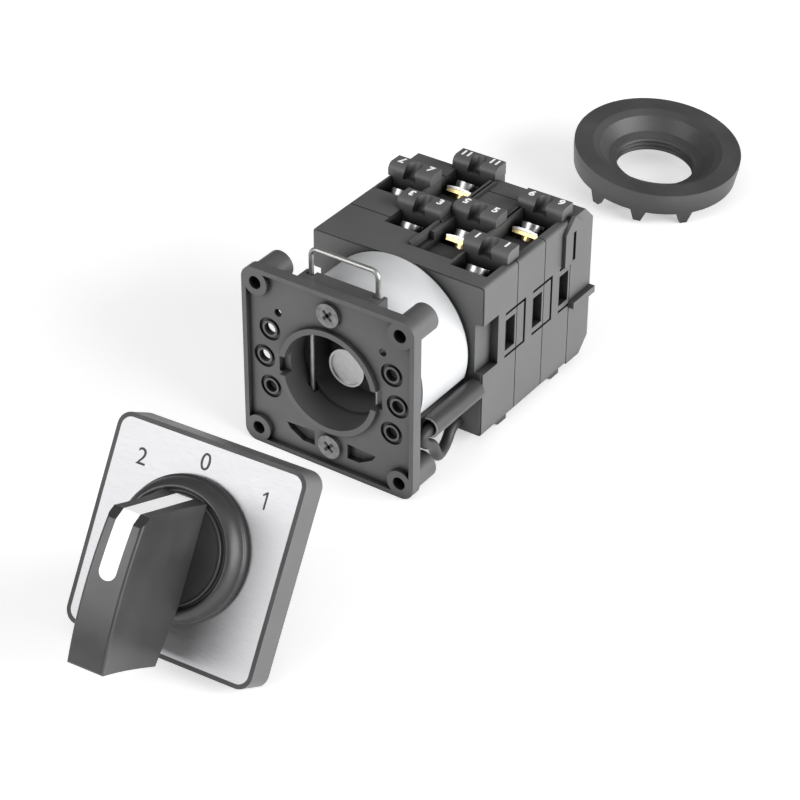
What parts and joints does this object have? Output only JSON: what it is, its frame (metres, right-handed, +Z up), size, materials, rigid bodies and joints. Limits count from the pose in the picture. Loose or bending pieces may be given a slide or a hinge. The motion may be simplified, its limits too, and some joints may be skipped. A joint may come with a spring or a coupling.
{
  "type": "cam switch",
  "caption": "Panel cam switch with lever knob on a square plate, stacked contact block and ring nut, laid out apart.",
  "frame": {"origin": "centre of the four-hole pattern on the mounting plate's front face", "axes": "+X to the right seen from the front, +Y back into the switch, +Z up; the parts stand on z = -21.5 mm"},
  "size_m": [0.0566, 0.2582, 0.0484],
  "materials": {
    "black_plastic": "semi-gloss",
    "knob_plastic": "satin",
    "marker_white": "satin",
    "label_paper": "matt",
    "legend_metal": "brushed",
    "seal_rubber": "matt",
    "cam_plastic": "satin",
    "spring_steel": "bright",
    "zinc_steel": "zinc plated",
    "brass": "satin",
    "tube_plastic": "gloss",
    "wire_insulation": "satin"
  },
  "bodies": {
    "housing": {"mounting_plate": "black_plastic", "plate_screws": "zinc_steel", "index_housing": "black_plastic", "rating_label": "label_paper", "index_springs": "spring_steel", "contact_spring_1": "spring_steel", "contact_spring_2": "spring_steel", "contact_spring_3": "spring_steel", "contact_spring_4": "spring_steel", "contact_spring_5": "spring_steel", "contact_spring_6": "spring_steel", "fixed_contacts_1": "brass", "fixed_contacts_2": "brass", "fixed_contacts_3": "brass", "fixed_contacts_4": "brass", "fixed_contacts_5": "brass", "fixed_contacts_6": "brass", "terminal_screws": "zinc_steel", "clamp_washers": "zinc_steel", "stage_1_housing": "black_plastic", "stage_2_housing": "black_plastic", "stage_3_housing": "black_plastic", "end_cover": "black_plastic", "tie_screws": "zinc_steel", "spacer_tube": "tube_plastic", "link_wire": "wire_insulation", "face_frame": "black_plastic", "legend_plate": "legend_metal", "front_bush": "black_plastic", "panel_seal": "seal_rubber", "ring_nut": "black_plastic"},
    "knob": {"knob_collar": "knob_plastic", "handle": "knob_plastic", "handle_marker": "marker_white", "drive_spindle": "black_plastic"},
    "shaft": {"cam_shaft": "zinc_steel", "shaft_coupling": "zinc_steel", "index_wheel": "black_plastic", "cam_1": "cam_plastic", "cam_2": "cam_plastic", "cam_3": "cam_plastic", "cam_4": "cam_plastic", "cam_5": "cam_plastic", "cam_6": "cam_plastic"},
    "bail": {"locking_bail": "spring_steel"},
    "contact_1": {"plunger_1": "cam_plastic", "contact_bridge_1": "brass"},
    "contact_2": {"plunger_2": "cam_plastic", "contact_bridge_2": "brass"},
    "contact_3": {"plunger_3": "cam_plastic", "contact_bridge_3": "brass"},
    "contact_4": {"plunger_4": "cam_plastic", "contact_bridge_4": "brass"},
    "contact_5": {"plunger_5": "cam_plastic", "contact_bridge_5": "brass"},
    "contact_6": {"plunger_6": "cam_plastic", "contact_bridge_6": "brass"}
  },
  "joints": [
    {"name": "knob_turn", "type": "hinge", "parent": "housing", "child": "knob", "pos_m": [0.0106, -0.0609, -0.00001], "axis": [-0.0504, 0.8488, -0.5263], "range_deg": [-45, 45]},
    {"name": "shaft_turn", "type": "hinge", "parent": "housing", "child": "shaft", "pos_m": [0, 0, 0], "axis": [0, 1, 0], "range_deg": [-45, 45], "deforming": ["index_springs"]},
    {"name": "contact_1_travel", "type": "slide", "parent": "housing", "child": "contact_1", "axis": [1, 0, 0], "range_m": [-0.0012, 0.0012], "deforming": ["contact_spring_1"]},
    {"name": "contact_2_travel", "type": "slide", "parent": "housing", "child": "contact_2", "axis": [-1, 0, 0], "range_m": [-0.0012, 0.0012], "deforming": ["contact_spring_2"]},
    {"name": "contact_3_travel", "type": "slide", "parent": "housing", "child": "contact_3", "axis": [1, 0, 0], "range_m": [-0.0012, 0.0012], "deforming": ["contact_spring_3"]},
    {"name": "contact_4_travel", "type": "slide", "parent": "housing", "child": "contact_4", "axis": [-1, 0, 0], "range_m": [-0.0012, 0.0012], "deforming": ["contact_spring_4"]},
    {"name": "contact_5_travel", "type": "slide", "parent": "housing", "child": "contact_5", "axis": [1, 0, 0], "range_m": [-0.0012, 0.0012], "deforming": ["contact_spring_5"]},
    {"name": "contact_6_travel", "type": "slide", "parent": "housing", "child": "contact_6", "axis": [-1, 0, 0], "range_m": [-0.0012, 0.0012], "deforming": ["contact_spring_6"]},
    {"name": "bail_slide", "type": "slide", "parent": "housing", "child": "bail", "axis": [0, 0, 1], "range_m": [-0.0048, 0]}
  ],
  "couplings": [
    {"joint": "shaft_turn", "follows": "knob_turn", "ratio": 1},
    {"joint": "contact_1_travel", "follows": "knob_turn", "m_per_rad": -0.0015278},
    {"joint": "contact_2_travel", "follows": "knob_turn", "m_per_rad": 0.0015278},
    {"joint": "contact_3_travel", "follows": "knob_turn", "m_per_rad": -0.0015278},
    {"joint": "contact_4_travel", "follows": "knob_turn", "m_per_rad": 0.0015278},
    {"joint": "contact_5_travel", "follows": "knob_turn", "m_per_rad": -0.0015278},
    {"joint": "contact_6_travel", "follows": "knob_turn", "m_per_rad": 0.0015278}
  ]
}
